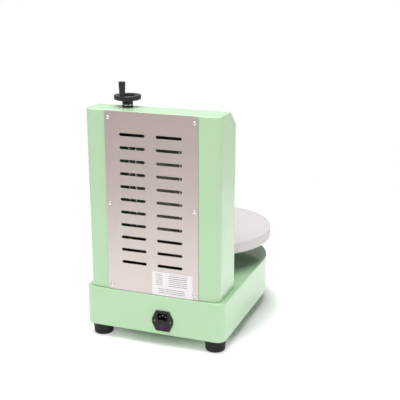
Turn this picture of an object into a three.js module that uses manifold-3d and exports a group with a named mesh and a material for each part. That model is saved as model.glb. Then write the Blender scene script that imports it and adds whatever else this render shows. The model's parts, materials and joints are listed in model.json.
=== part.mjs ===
// Counter-top turntable machine for coating cakes with cream.
// A D-shaped base carries a driven disc at the front and a tall tower at the back. A hand wheel on the
// tower turns a lead screw, which lifts a carriage and the arm that holds the spreading blades.
// Millimetres, +Z up, front towards -Y, origin on the floor under the middle of the machine's box.
import * as THREE from "three";
import { mergeVertices } from "three/addons/utils/BufferGeometryUtils.js";
import Module from "manifold-3d";

// ---------------------------------------------------------------- driving dimensions
const GAP = 0.3; // clearance left between pieces that touch
const SHEET = 2; // housing sheet

const FOOT = { height: 32, topR: 26, bottomR: 23 };
const BASE = { width: 350, height: 95, rearY: 251.5, cornerR: 21 };
const BASE_ARC = 14; // curve steps on the base outline
const BASE_BOTTOM = FOOT.height;
const BASE_TOP = BASE_BOTTOM + BASE.height;

const DISC = { y: -72, r: 184, thick: 25.7, z: 179.5, rim: 8, web: 8.2 };

const TOWER = { width: 326, depth: 114, height: 428, rearR: 16, frontR: 10 };
const TOWER_REAR = BASE.rearY - 6;
const TOWER_FRONT = TOWER_REAR - TOWER.depth;
const TOWER_TOP = BASE_TOP + TOWER.height;
const SLANT = { depth: 42, height: 36 }; // the sloping face for the control panel

const COVER = { width: 225, thick: 1.2, edge: 0.6 };
const COVER_Y = TOWER_REAR + GAP + COVER.thick; // outer face of the rear cover
const VENT = { rows: 11, pitch: 30.2, topZ: 501.9, length: 62, height: 7, x: [-43.5, 45.5] };
const COVER_SCREW = { x: 104, z: [138.5, 338.8, 539], headR: 3.9, headH: 2.4, shankR: 2 };
const LABEL = { x: [-99.6, 1.4], z: [128, 186], thick: 0.3 };

const INLET = { x: -26, z: 66.2, tall: 50, wide: 52, narrow: 33, flange: 2.8, depth: 29 };
const INLET_FACE = BASE.rearY + GAP + INLET.flange;
const SOCKET = { half: 12.25, z: [2.5, 19.5], depth: 16 };
const FUSE = { half: 11.5, z: [-5, 1], depth: 24 };
const ROCKER = { half: 9.5, z: [-21, -8], depth: 12, proud: 1.4 };

const SCREW = { x: 82, y: 186.5, r: 6, bottom: 131, top: 575.5 };
const ROD = { x: [63, -47.5], y: 190, r: 4 };
const BLOCK = { x: [-66, 100], y: [176, 212], lower: [127.6, 143], upper: [478, 506] };
const CARRIAGE = { x: [-64, 98], y: [174, 208], z: [150, 236] };
const LIFT_STROKE = 106; // thirteen and a quarter turns of the hand wheel

const ARM = { half: 11, y: [-95, 168.4], z: [300, 322] };
const RAIL = { x: [-25, 170], y: [-84, -60], z: [322.3, 338] };
const SLIDER = { x: [118, 146], y: [-90, -54], z: [316, 344] };
const KNOB = { r: 11, thick: 12, studR: 3 };

const WHEEL = { r: 31.4, z: 570.3, rim: 11.2, hubR: 12.4, recessR: 17 };
const GRIP = { x: 84, y: 209.9, topR: 7.8, bottomR: 6.4, length: 32 };

const BELT = { ratio: 3, motorPitchR: 13.5, thick: 2.5, z: [51, 61] };
const MOTOR_Y = 75;
const SPINDLE_R = 10;
const PANEL = { width: 230, height: 43, thick: 1.6 };
const BUTTON = { r: 7, x: [-68, -92], proud: 2.6 };
const SPEED_KNOB = { x: 78, y: -6, r: 9, height: 8 };

// ---------------------------------------------------------------- booleans
const wasm = await Module();
wasm.setup();

function solid(geometry) {
  const bare = geometry.index ? geometry.toNonIndexed() : geometry.clone();
  bare.deleteAttribute("normal");
  bare.deleteAttribute("uv");
  const merged = mergeVertices(bare, 1e-4);
  return new wasm.Manifold(
    new wasm.Mesh({
      numProp: 3,
      vertProperties: new Float32Array(merged.attributes.position.array),
      triVerts: new Uint32Array(merged.index.array),
    }),
  );
}

function geometryOf(manifold) {
  const mesh = manifold.getMesh();
  const geometry = new THREE.BufferGeometry();
  geometry.setAttribute("position", new THREE.BufferAttribute(mesh.vertProperties, 3));
  geometry.setIndex(new THREE.BufferAttribute(mesh.triVerts, 1));
  return geometry;
}

const cut = (body, ...tools) =>
  geometryOf(tools.reduce((left, tool) => left.subtract(solid(tool)), solid(body)));
const weld = (first, ...others) =>
  geometryOf(others.reduce((left, other) => left.add(solid(other)), solid(first)));
const common = (first, second) => geometryOf(solid(first).intersect(solid(second)));

// ---------------------------------------------------------------- shapes
function block([x0, x1], [y0, y1], [z0, z1]) {
  const box = new THREE.BoxGeometry(x1 - x0, y1 - y0, z1 - z0);
  return box.translate((x0 + x1) / 2, (y0 + y1) / 2, (z0 + z1) / 2);
}

// A round bar along Z.
function bar(r, [z0, z1], [x, y], sides = 20) {
  const cylinder = new THREE.CylinderGeometry(r, r, z1 - z0, sides);
  return cylinder.rotateX(Math.PI / 2).translate(x, y, (z0 + z1) / 2);
}

// A turned piece: [radius, height] pairs from the bottom of the axis, out, and back to its top.
function turned(profile, [x, y], sides = 24) {
  const points = profile.map(([r, z]) => new THREE.Vector2(r, z));
  return new THREE.LatheGeometry(points, sides).rotateX(Math.PI / 2).translate(x, y, 0);
}

// A turned ring: the profile closes on itself, anticlockwise with radius to the right.
const ring = (profile, at, sides) => turned([...profile, profile[0]], at, sides);

function prism(outline, [z0, z1], curveSegments = 8) {
  const options = { depth: z1 - z0, bevelEnabled: false, curveSegments };
  return new THREE.ExtrudeGeometry(outline, options).translate(0, 0, z0);
}

// A prism whose outline is drawn in X and Z, between two depths along Y.
const standing = (outline, [y0, y1], curveSegments) =>
  prism(outline, [0, y1 - y0], curveSegments).rotateX(Math.PI / 2).translate(0, y1, 0);

function polygon(points) {
  return new THREE.Shape(points.map(([x, y]) => new THREE.Vector2(x, y)));
}

// The base seen from above: straight sides and a half round front about the disc's axis.
function baseOutline(inset) {
  const half = BASE.width / 2 - inset;
  const rear = BASE.rearY - inset;
  const r = BASE.cornerR - inset;
  const outline = new THREE.Shape();
  outline.moveTo(half, DISC.y);
  outline.lineTo(half, rear - r);
  outline.absarc(half - r, rear - r, r, 0, Math.PI / 2, false);
  outline.absarc(r - half, rear - r, r, Math.PI / 2, Math.PI, false);
  outline.lineTo(-half, DISC.y);
  outline.absarc(0, DISC.y, half, Math.PI, 2 * Math.PI, false);
  return outline;
}

function towerOutline(inset) {
  const half = TOWER.width / 2 - inset;
  const [front, rear] = [TOWER_FRONT + inset, TOWER_REAR - inset];
  const [rf, rr] = [TOWER.frontR - inset, TOWER.rearR - inset];
  const outline = new THREE.Shape();
  outline.moveTo(half, front + rf);
  outline.absarc(half - rr, rear - rr, rr, 0, Math.PI / 2, false);
  outline.absarc(rr - half, rear - rr, rr, Math.PI / 2, Math.PI, false);
  outline.absarc(rf - half, front + rf, rf, Math.PI, 1.5 * Math.PI, false);
  outline.absarc(half - rf, front + rf, rf, 1.5 * Math.PI, 2 * Math.PI, false);
  return outline;
}

// The tower seen from the side, as a wide slab that trims the plan prism to the sloping face.
function towerSide(inset, bottom) {
  const drop = (inset * Math.hypot(SLANT.depth, SLANT.height)) / SLANT.depth;
  const front = TOWER_FRONT + inset;
  const rear = TOWER_REAR - inset;
  const top = TOWER_TOP - inset;
  const rise = SLANT.height / SLANT.depth;
  const slantY = (z) => TOWER_FRONT + (z + drop - (TOWER_TOP - SLANT.height)) / rise;
  const lowZ = TOWER_TOP - SLANT.height - drop + inset * rise;
  const outline = polygon([[bottom, rear], [bottom, front], [lowZ, front], [top, slantY(top)], [top, rear]]);
  const wide = TOWER.width + 20;
  return prism(outline, [-wide / 2, wide / 2]).rotateY(-Math.PI / 2);
}

const towerSolid = (inset, bottom) =>
  common(prism(towerOutline(inset), [bottom, TOWER_TOP - inset], 6), towerSide(inset, bottom));

// ---------------------------------------------------------------- materials
function material(color, roughness, metalness = 0) {
  return new THREE.MeshStandardMaterial({ color, roughness, metalness });
}
const mint = material("#c1e0bf", 0.25, 0.1);
const stainless = material("#c6bab4", 0.35, 0.9);
const castGrey = material("#dcdad9", 0.5, 0.2);
const blackPlastic = material("#1d1c20", 0.4);
const rubber = material("#161616", 0.8);
const bright = material("#cfcfd2", 0.2, 1);
const zinc = material("#a9adb0", 0.45, 0.8);
const aluminium = material("#b9bcc0", 0.4, 0.9);
const brass = material("#c9a35a", 0.35, 1);
const blackSteel = material("#232326", 0.55, 0.6);
const white = material("#f2f2f2", 0.6);
const boardGreen = material("#1d5b3a", 0.6);
const glass = material("#10141a", 0.1);
const green = material("#2f8f4a", 0.4);
const red = material("#b3282d", 0.4);

const machine = new THREE.Group();

function add(name, geometry, look, parent = machine) {
  const mesh = new THREE.Mesh(geometry, look);
  mesh.name = name;
  parent.add(mesh);
}

// ---------------------------------------------------------------- base
function addBase() {
  const wallTop = BASE_TOP - SHEET;
  const inside = prism(baseOutline(SHEET), [BASE_BOTTOM - 1, wallTop], BASE_ARC);
  const spindleHole = bar(27.6, [wallTop - 1, BASE_TOP + 1], [0, DISC.y]);
  const inletHole = block(
    [INLET.x - 14.8, INLET.x + 14.8],
    [BASE.rearY - SHEET - 1, BASE.rearY + 1],
    [INLET.z - 23.3, INLET.z + 22.3],
  );
  const outside = prism(baseOutline(0), [BASE_BOTTOM, BASE_TOP], BASE_ARC);
  add("base_shell", cut(outside, inside, spindleHole, inletHole), mint);

  const plateZ = BASE_BOTTOM + GAP;
  add("base_plate", prism(baseOutline(SHEET + GAP), [plateZ, plateZ + SHEET], BASE_ARC), mint);

  const places = {
    foot_rear_left: [144.6, 218.5],
    foot_rear_right: [-144.6, 218.5],
    foot_front_left: [100, DISC.y - 100],
    foot_front_right: [-100, DISC.y - 100],
  };
  const profile = [
    [0, 0],
    [FOOT.bottomR - 1.5, 0],
    [FOOT.bottomR, 1.5],
    [FOOT.topR, FOOT.height - 4],
    [FOOT.topR, FOOT.height],
    [0, FOOT.height],
  ];
  for (const [name, at] of Object.entries(places)) add(name, turned(profile, at, 20), rubber);
}

// ---------------------------------------------------------------- tower
// The control panel's own frame: its X across the machine, Y up the slope, Z out of the face.
const panel = new THREE.Group();
panel.rotation.x = Math.atan2(SLANT.height, SLANT.depth);
panel.position.set(0, TOWER_FRONT + SLANT.depth / 2, TOWER_TOP - SLANT.height / 2);
machine.add(panel);
panel.updateMatrixWorld(true);

function ventShape(x, z) {
  const r = VENT.height / 2;
  const run = VENT.length / 2 - r;
  const slot = new THREE.Path();
  slot.absarc(x + run, z, r, -Math.PI / 2, Math.PI / 2, false);
  slot.absarc(x - run, z, r, Math.PI / 2, 1.5 * Math.PI, false);
  return slot;
}

function addTower() {
  const bottom = BASE_TOP + GAP;
  const rearOpening = block([-94, 94], [TOWER_REAR - SHEET - 1, TOWER_REAR + 1], [140, 538]);
  const armSlot = block(
    [-ARM.half - 3, ARM.half + 3],
    [TOWER_FRONT - 1, TOWER_FRONT + SHEET + 1],
    [ARM.z[0] - 12, ARM.z[1] + LIFT_STROKE + 8],
  );
  const screwHole = bar(8, [TOWER_TOP - SHEET - 1, TOWER_TOP + 1], [SCREW.x, SCREW.y]);
  const panelWindow = block([-105, 105], [-17, 17], [-SHEET - 4, 1]).applyMatrix4(panel.matrixWorld);
  const fixings = COVER_SCREW.z.flatMap((z) =>
    [-COVER_SCREW.x, COVER_SCREW.x].map((x) => screwHoleAt(x, z)),
  );
  const shell = cut(
    towerSolid(0, bottom),
    towerSolid(SHEET, bottom - 5),
    rearOpening,
    armSlot,
    screwHole,
    panelWindow,
    ...fixings,
  );
  add("tower_shell", shell, mint);
}

const screwHoleAt = (x, z) =>
  bar(COVER_SCREW.shankR + 0.6, [-3, 3], [0, 0], 8)
    .rotateX(Math.PI / 2)
    .translate(x, TOWER_REAR, z);

function addRearCover() {
  const half = COVER.width / 2;
  const [low, high] = [BASE_TOP + COVER.edge, TOWER_TOP - COVER.edge];
  const sheet = polygon([[-half, low], [half, low], [half, high], [-half, high]]);
  for (let row = 0; row < VENT.rows; row++) {
    for (const x of VENT.x) sheet.holes.push(ventShape(x, VENT.topZ - row * VENT.pitch));
  }
  for (const z of COVER_SCREW.z) {
    for (const x of [-COVER_SCREW.x, COVER_SCREW.x]) {
      sheet.holes.push(new THREE.Path().absarc(x, z, COVER_SCREW.shankR + 0.6, 0, 2 * Math.PI));
    }
  }
  add("rear_cover", standing(sheet, [TOWER_REAR + GAP, COVER_Y], 3), stainless);

  const profile = [
    [0, -6],
    [COVER_SCREW.shankR, -6],
    [COVER_SCREW.shankR, GAP],
    [COVER_SCREW.headR, GAP],
    [COVER_SCREW.headR, GAP + COVER_SCREW.headH * 0.4],
    [COVER_SCREW.headR * 0.6, GAP + COVER_SCREW.headH],
    [0, GAP + COVER_SCREW.headH],
  ];
  let count = 0;
  for (const z of [...COVER_SCREW.z].reverse()) {
    for (const x of [COVER_SCREW.x, -COVER_SCREW.x]) {
      count += 1;
      const screw = turned(profile, [0, 0], 12).rotateX(-Math.PI / 2);
      add(`cover_screw_${count}`, screw.translate(x, COVER_Y, z), bright);
    }
  }
  const labelY = COVER_Y + GAP;
  add("rating_label", block(LABEL.x, [labelY, labelY + LABEL.thick], LABEL.z), white);
}

// ---------------------------------------------------------------- power inlet
const inInlet = ([x0, x1], [y0, y1], [z0, z1]) =>
  block([INLET.x + x0, INLET.x + x1], [y0, y1], [INLET.z + z0, INLET.z + z1]);

function addInlet() {
  const [w, n, t] = [INLET.wide / 2, INLET.narrow / 2, INLET.tall / 2];
  const hexagon = polygon([[n, t], [-n, t], [-w, 3], [-w, -3], [-n, -t], [n, -t], [w, -3], [w, 3]]);
  const flange = standing(hexagon, [BASE.rearY + GAP, INLET_FACE]).translate(INLET.x, 0, INLET.z);
  const front = INLET_FACE + 1;
  const body = weld(flange, inInlet([-14, 14], [INLET_FACE - INLET.depth, INLET_FACE - 1], [-22.5, 21.5]));
  const openings = [
    inInlet([-SOCKET.half, SOCKET.half], [INLET_FACE - SOCKET.depth, front], SOCKET.z),
    inInlet([-FUSE.half, FUSE.half], [INLET_FACE - FUSE.depth, front], FUSE.z),
    inInlet([-ROCKER.half, ROCKER.half], [INLET_FACE - ROCKER.depth, front], ROCKER.z),
  ];
  add("inlet_body", cut(body, ...openings), blackPlastic);

  const floor = INLET_FACE - SOCKET.depth + GAP;
  const pins = { inlet_pin_live: [7, 10], inlet_pin_neutral: [-7, 10], inlet_pin_earth: [0, 14] };
  for (const [name, [x, z]] of Object.entries(pins)) {
    add(name, inInlet([x - 1, x + 1], [floor, INLET_FACE - 2.5], [z - 2, z + 2]), bright);
  }

  const [fz0, fz1] = FUSE.z;
  const drawer = weld(
    inInlet([GAP - FUSE.half, FUSE.half - GAP], [INLET_FACE - 3, INLET_FACE + 0.4], [fz0 + GAP, fz1 - GAP]),
    inInlet([-9, 9], [INLET_FACE - FUSE.depth + 2, INLET_FACE - 2], [fz0 + 1, fz1 - 1]),
  );
  add("fuse_drawer", drawer, blackPlastic);

  // The rocker is a shallow V in profile: one half stands proud and the other is pressed in.
  const middle = (ROCKER.z[0] + ROCKER.z[1]) / 2;
  const halfTall = (ROCKER.z[1] - ROCKER.z[0]) / 2 - 1;
  const tip = INLET_FACE + ROCKER.proud;
  const sunk = INLET_FACE - 1.2;
  const face = polygon([
    [middle - halfTall, tip],
    [middle - halfTall, INLET_FACE - 4],
    [middle, INLET_FACE - 7],
    [middle + halfTall, INLET_FACE - 4],
    [middle + halfTall, sunk],
    [middle, INLET_FACE - 0.6],
  ]);
  const width = 2 * (ROCKER.half - GAP);
  const rocker = prism(face, [-width / 2, width / 2]).rotateY(-Math.PI / 2);
  add("rocker_switch", rocker.translate(INLET.x, 0, INLET.z), blackPlastic);
}

// ---------------------------------------------------------------- turntable and drive
function addTurntable() {
  const at = [0, DISC.y];
  const top = DISC.z + DISC.thick;
  const web = top - DISC.web;
  const disc = [
    [0, web],
    [DISC.r - DISC.rim, web],
    [DISC.r - DISC.rim, DISC.z],
    [DISC.r - 1, DISC.z],
    [DISC.r, DISC.z + 1],
    [DISC.r, top - 3],
    [DISC.r - 1, top - 1],
    [DISC.r - 3, top],
    [0, top],
  ];
  add("turntable_disc", turned(disc, at, 72), castGrey);

  const hubTop = web - GAP;
  const bore = SPINDLE_R + GAP;
  const boreEnd = 190;
  const hub = [
    [0, boreEnd],
    [bore, boreEnd],
    [bore, 166],
    [16, 166],
    [16, 184],
    [45, 188],
    [45, hubTop],
    [0, hubTop],
  ];
  add("turntable_hub", turned(hub, at), aluminium);
  add("spindle_shaft", bar(SPINDLE_R, [46, boreEnd - GAP], at), bright);

  const [low, high] = [66, 162];
  const seat = BASE_TOP + GAP;
  const barrel = 27;
  const inner = 20 + GAP;
  const housing = [
    [inner, low],
    [barrel, low],
    [barrel, seat],
    [45, seat],
    [45, 134],
    [barrel, 138],
    [barrel, high],
    [inner, high],
  ];
  add("spindle_housing", ring(housing, at), aluminium);
  const race = (z) => [[bore, z], [20, z], [20, z + 11], [bore, z + 11]];
  add("spindle_bearing_upper", ring(race(150), at), bright);
  add("spindle_bearing_lower", ring(race(67), at), bright);
}

const beltInner = (pitchR) => pitchR - BELT.thick / 2;
const spindlePitchR = BELT.ratio * BELT.motorPitchR;

function pulley(pitchR, boreR, at) {
  const r = beltInner(pitchR) - GAP;
  const [z0, z1] = BELT.z;
  const lip = r + 3.5;
  const [a, b, c, d] = [z0 - 2.5, z0 - GAP, z1 + GAP, z1 + 2.5];
  return ring([[boreR, a], [lip, a], [lip, b], [r, b], [r, c], [lip, c], [lip, d], [boreR, d]], at);
}

// The belt's outline around both pulleys, offset from their pitch circles.
function beltOutline(offset, Kind) {
  const span = MOTOR_Y - DISC.y;
  const lean = Math.asin((spindlePitchR - BELT.motorPitchR) / span);
  const outline = new Kind();
  outline.absarc(0, MOTOR_Y, BELT.motorPitchR + offset, lean, Math.PI - lean, false);
  outline.absarc(0, DISC.y, spindlePitchR + offset, Math.PI - lean, 2 * Math.PI + lean, false);
  return outline;
}

function addDrive() {
  add("spindle_pulley", pulley(spindlePitchR, SPINDLE_R + GAP, [0, DISC.y]), aluminium);

  const shaftR = 4;
  const r = beltInner(BELT.motorPitchR) - GAP;
  const [z0, z1] = BELT.z;
  const lip = r + 3.5;
  const motorPulley = [
    [0, z0 - 2.5],
    [lip, z0 - 2.5],
    [lip, z0 - GAP],
    [r, z0 - GAP],
    [r, z1 + GAP],
    [lip, z1 + GAP],
    [lip, z1 + 2.5],
    [shaftR, z1 + 2.5],
    [shaftR, 78],
    [0, 78],
  ];
  add("motor_pulley", turned(motorPulley, [0, MOTOR_Y]), bright);

  const outer = beltOutline(BELT.thick / 2, THREE.Shape);
  outer.holes.push(beltOutline(-BELT.thick / 2, THREE.Path));
  add("drive_belt", prism(outer, BELT.z, 10), rubber);

  const motorTop = BASE_TOP - SHEET - GAP;
  const hole = shaftR + GAP;
  const motor = [
    [0, 79],
    [hole, 79],
    [hole, 66],
    [14, 66],
    [14, 70],
    [37, 70],
    [37, 94],
    [31, 96],
    [31, motorTop - 3],
    [42, motorTop - 3],
    [42, motorTop],
    [0, motorTop],
  ];
  add("drive_motor", turned(motor, [0, MOTOR_Y]), blackSteel);

  const plateTop = BASE_BOTTOM + SHEET + 2 * GAP;
  const supply = block([-150, -66], [92, 212], [plateTop, plateTop + 38]);
  add("power_supply", supply, zinc);
  const board = weld(
    block([64, 152], [92, 200], [plateTop + 7, plateTop + 8.6]),
    block([72, 84], [100, 190], [plateTop + 8, plateTop + 30]),
    block([100, 118], [104, 122], [plateTop + 8, plateTop + 24]),
    block([126, 146], [100, 180], [plateTop + 8, plateTop + 18]),
    ...[[70, 98], [146, 98], [70, 194], [146, 194]].map((at) => bar(3, [plateTop, plateTop + 8], at, 10)),
    block([70, 146], [96.8, 99.2], [plateTop + 2, plateTop + 8]),
  );
  add("control_board", board, boardGreen);
}

// ---------------------------------------------------------------- lift
function addLift() {
  const screwAt = [SCREW.x, SCREW.y];
  const rodsAt = ROD.x.map((x) => [x, ROD.y]);
  for (const [name, span] of [["screw_block_lower", BLOCK.lower], ["screw_block_upper", BLOCK.upper]]) {
    const through = [span[0] - 1, span[1] + 1];
    const holes = rodsAt.map((at) => bar(ROD.r + GAP, through, at));
    add(name, cut(block(BLOCK.x, BLOCK.y, span), bar(SCREW.r + GAP, through, screwAt), ...holes), blackSteel);
  }
  ["guide_rod_left", "guide_rod_right"].forEach((name, i) => {
    add(name, bar(ROD.r, [BLOCK.lower[0] + 1, BLOCK.upper[1] - 1], rodsAt[i]), bright);
  });

  const nutR = 10;
  const bushR = 7.5;
  const through = [CARRIAGE.z[0] - 1, CARRIAGE.z[1] + 1];
  const holes = rodsAt.map((at) => bar(bushR + GAP, through, at));
  const carriage = block(CARRIAGE.x, CARRIAGE.y, CARRIAGE.z);
  add("lift_carriage", cut(carriage, bar(nutR + GAP, through, screwAt), ...holes), blackSteel);
  ["rod_bush_left", "rod_bush_right"].forEach((name, i) => {
    const [a, b] = [ROD.r + GAP, bushR];
    const [z0, z1] = [CARRIAGE.z[0] + 2, CARRIAGE.z[1] - 2];
    add(name, ring([[a, z0], [b, z0], [b, z1], [a, z1]], rodsAt[i], 24), brass);
  });
  const [inner, neck, seat] = [SCREW.r + GAP, CARRIAGE.z[1] - 40, CARRIAGE.z[1] + GAP];
  const nut = [[inner, neck], [nutR, neck], [nutR, seat], [14, seat], [14, seat + 6], [inner, seat + 6]];
  add("lead_nut", ring(nut, screwAt, 24), brass);

  add("lead_screw", bar(SCREW.r, [SCREW.bottom, SCREW.top], screwAt), bright);
}

function addArm() {
  // The bracket is tall and wide enough to close the arm's slot from inside at every height.
  const plate = [CARRIAGE.y[0] - GAP - 5, CARRIAGE.y[0] - GAP];
  const plateTop = ARM.z[1] + 8 + LIFT_STROKE;
  add("lift_bracket", block([-36, 36], plate, [CARRIAGE.z[0] + 2, plateTop]), zinc);
  add("spreader_arm", block([-ARM.half, ARM.half], ARM.y, ARM.z), stainless);

  const top = ARM.z[0] - GAP;
  const edge = polygon([[-1.5, top], [-1.5, 246], [-0.4, 240], [0.4, 240], [1.5, 246], [1.5, top]]);
  add("top_blade", standing(edge, [-75, 78]), stainless);
  add("blade_rail", block(RAIL.x, RAIL.y, RAIL.z), stainless);

  const clear = 0.4;
  const centreX = (SLIDER.x[0] + SLIDER.x[1]) / 2;
  const centreY = (RAIL.y[0] + RAIL.y[1]) / 2;
  const studZ = (RAIL.z[0] + RAIL.z[1]) / 2;
  const railHole = block(
    [SLIDER.x[0] - 1, SLIDER.x[1] + 1],
    [RAIL.y[0] - clear, RAIL.y[1] + clear],
    [RAIL.z[0] - clear, RAIL.z[1] + clear],
  );
  const topHole = bar(KNOB.studR + GAP, [RAIL.z[1] + 1.5, SLIDER.z[1] + 1], [centreX, centreY], 16);
  const frontHole = bar(KNOB.studR + GAP, [-1, 4.5], [0, 0], 16)
    .rotateX(-Math.PI / 2)
    .translate(centreX, SLIDER.y[0], studZ);
  add("blade_slider", cut(block(SLIDER.x, SLIDER.y, SLIDER.z), railHole, topHole, frontHole), blackPlastic);

  // The blade hangs in front of the slider and has a long slot for the clamping stud.
  const slot = new THREE.Path();
  const slotR = KNOB.studR + 0.4;
  slot.absarc(centreX, studZ + 0.5, slotR, 0, Math.PI, false);
  slot.absarc(centreX, studZ - 60.5, slotR, Math.PI, 2 * Math.PI, false);
  const [x0, x1] = [SLIDER.x[0] - 6, SLIDER.x[1] + 4];
  const blade = polygon([[x0, 208], [x1, 208], [x1, 346], [x0, 346]]);
  blade.holes.push(slot);
  const bladeY = SLIDER.y[0] - GAP;
  add("side_blade", standing(blade, [bladeY - 2, bladeY], 6), stainless);

  // Both clamp knobs are turned from the same profile, stud first.
  const knobProfile = (studLength) => [
    [0, -studLength],
    [KNOB.studR, -studLength],
    [KNOB.studR, GAP],
    [KNOB.r - 2, GAP],
    [KNOB.r, 2],
    [KNOB.r, KNOB.thick - 2],
    [KNOB.r - 2, KNOB.thick],
    [0, KNOB.thick],
  ];
  add("rail_knob", turned(knobProfile(4), [centreX, centreY], 16).translate(0, 0, SLIDER.z[1]), blackPlastic);
  const bladeKnob = turned(knobProfile(2 + GAP + 3.5), [0, 0], 16).rotateX(Math.PI / 2);
  add("blade_knob", bladeKnob.translate(centreX, bladeY - 2, studZ), blackPlastic);
}

// ---------------------------------------------------------------- hand wheel
function addHandWheel() {
  const at = [SCREW.x, SCREW.y];
  const bore = SCREW.r + GAP;
  const flat = (r, [z0, z1]) => ring([[bore, z0], [r, z0], [r, z1], [bore, z1]], at, 20);
  add("screw_collar", flat(12.5, [TOWER_TOP + GAP, TOWER_TOP + 3]), blackSteel);
  add("wheel_washer", flat(12.6, [TOWER_TOP + 3.3, TOWER_TOP + 5.4]), bright);

  const rimTop = WHEEL.z + WHEEL.rim;
  const hubBottom = TOWER_TOP + 5.7;
  const wheel = [
    [bore, hubBottom],
    [WHEEL.hubR, hubBottom],
    [WHEEL.hubR, WHEEL.z - 1.5],
    [WHEEL.r - 3, WHEEL.z + 0.5],
    [WHEEL.r - 0.5, WHEEL.z + 1.5],
    [WHEEL.r, WHEEL.z + 3],
    [WHEEL.r, rimTop - 2.5],
    [WHEEL.r - 2, rimTop],
    [WHEEL.recessR + 1, rimTop],
    [WHEEL.recessR, rimTop - 1],
    [WHEEL.recessR - 1, WHEEL.z + 4],
    [bore, WHEEL.z + 4],
  ];
  const gripAt = [GRIP.x, GRIP.y];
  const boltHole = bar(3.3, [WHEEL.z + 4, rimTop + 1], gripAt, 16);
  add("handwheel", cut(ring(wheel, at, 32), boltHole), blackPlastic);

  const gripBottom = rimTop + 0.6;
  const gripTop = gripBottom + GRIP.length;
  const bolt = [[0, WHEEL.z + 4.4], [3, WHEEL.z + 4.4], [3, gripTop - 6], [0, gripTop - 6]];
  add("grip_bolt", turned(bolt, gripAt, 16), bright);
  const grip = [
    [0, gripTop - 5.6],
    [3.3, gripTop - 5.6],
    [3.3, gripBottom],
    [GRIP.bottomR, gripBottom],
    [GRIP.bottomR, gripBottom + 4],
    [GRIP.topR, gripTop - 3],
    [GRIP.topR - 1.5, gripTop],
    [0, gripTop],
  ];
  add("handle_grip", turned(grip, gripAt, 20), blackPlastic);
}

// ---------------------------------------------------------------- control panel
function addControlPanel() {
  const [w, h] = [PANEL.width / 2, PANEL.height / 2];
  const face = polygon([[-w, -h], [w, -h], [w, h], [-w, h]]);
  const display = { x: [-30, 30], y: [-11, 11] };
  const [dx, dy] = [display.x[1] + GAP, display.y[1] + GAP];
  face.holes.push(polygon([[-dx, -dy], [-dx, dy], [dx, dy], [dx, -dy]]));
  for (const x of BUTTON.x) face.holes.push(new THREE.Path().absarc(x, 0, BUTTON.r + GAP, 0, 2 * Math.PI));
  face.holes.push(new THREE.Path().absarc(SPEED_KNOB.x, SPEED_KNOB.y, 3 + GAP, 0, 2 * Math.PI));
  const front = GAP + PANEL.thick;
  add("control_panel", prism(face, [GAP, front], 6), blackPlastic, panel);
  add("display_window", block(display.x, display.y, [GAP, front + 0.2]), glass, panel);

  const capTop = front + BUTTON.proud;
  const cap = [[0, -5], [BUTTON.r, -5], [BUTTON.r, capTop - 1], [BUTTON.r - 1, capTop], [0, capTop]];
  add("start_button", turned(cap, [BUTTON.x[0], 0], 16), green, panel);
  add("stop_button", turned(cap, [BUTTON.x[1], 0], 16), red, panel);

  const base = front + GAP;
  const knob = [
    [0, -6],
    [3, -6],
    [3, base],
    [SPEED_KNOB.r, base],
    [SPEED_KNOB.r, base + SPEED_KNOB.height - 1.5],
    [SPEED_KNOB.r - 1.5, base + SPEED_KNOB.height],
    [0, base + SPEED_KNOB.height],
  ];
  add("speed_knob", turned(knob, [SPEED_KNOB.x, SPEED_KNOB.y], 20), blackPlastic, panel);
}

addBase();
addTower();
addRearCover();
addInlet();
addTurntable();
addDrive();
addLift();
addArm();
addHandWheel();
addControlPanel();

export default machine;
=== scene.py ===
# %% [markdown]
# # A cake-coating turntable machine, seen from behind
# The machine is a counter-top appliance: a D-shaped base with a driven disc at the front, and a tall tower at
# the back that holds a lead screw. The screw is turned by a small hand wheel and lifts an arm with scrapers.
# The mechanical model fixes every size and every moving body. This lesson gives it its finished look:
# finer shapes where a real edge is rounded, and a believable surface for every part.

# %% Load the fixed model
import json
import math

import bmesh
import bpy
from mathutils import Matrix, Vector


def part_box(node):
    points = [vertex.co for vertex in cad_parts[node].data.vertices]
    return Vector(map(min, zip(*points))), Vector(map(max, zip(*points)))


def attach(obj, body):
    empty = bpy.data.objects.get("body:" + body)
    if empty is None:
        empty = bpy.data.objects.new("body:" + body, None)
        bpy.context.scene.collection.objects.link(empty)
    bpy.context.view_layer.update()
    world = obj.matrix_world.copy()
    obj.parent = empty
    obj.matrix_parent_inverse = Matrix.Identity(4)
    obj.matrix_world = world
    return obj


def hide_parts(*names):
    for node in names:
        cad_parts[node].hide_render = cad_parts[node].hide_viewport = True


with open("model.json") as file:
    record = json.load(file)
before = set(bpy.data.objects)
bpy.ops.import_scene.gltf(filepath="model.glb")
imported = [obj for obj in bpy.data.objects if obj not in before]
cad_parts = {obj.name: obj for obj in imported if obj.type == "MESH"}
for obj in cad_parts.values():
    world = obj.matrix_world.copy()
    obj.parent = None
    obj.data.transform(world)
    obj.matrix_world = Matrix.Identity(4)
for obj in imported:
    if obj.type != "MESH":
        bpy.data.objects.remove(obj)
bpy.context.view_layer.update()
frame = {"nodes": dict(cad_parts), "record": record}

nodes = frame["nodes"]

# %% [markdown]
# ## Node groups: effects that many finishes share
# Real surfaces are never one flat value. Three small effects are used again and again here: a slow drift of
# colour, a slow drift of gloss as left by handling, and a fine relief such as paint texture or brushing.
# Each is a node group with named sockets, so it is built once and dropped into each finish with its own
# values.


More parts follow.
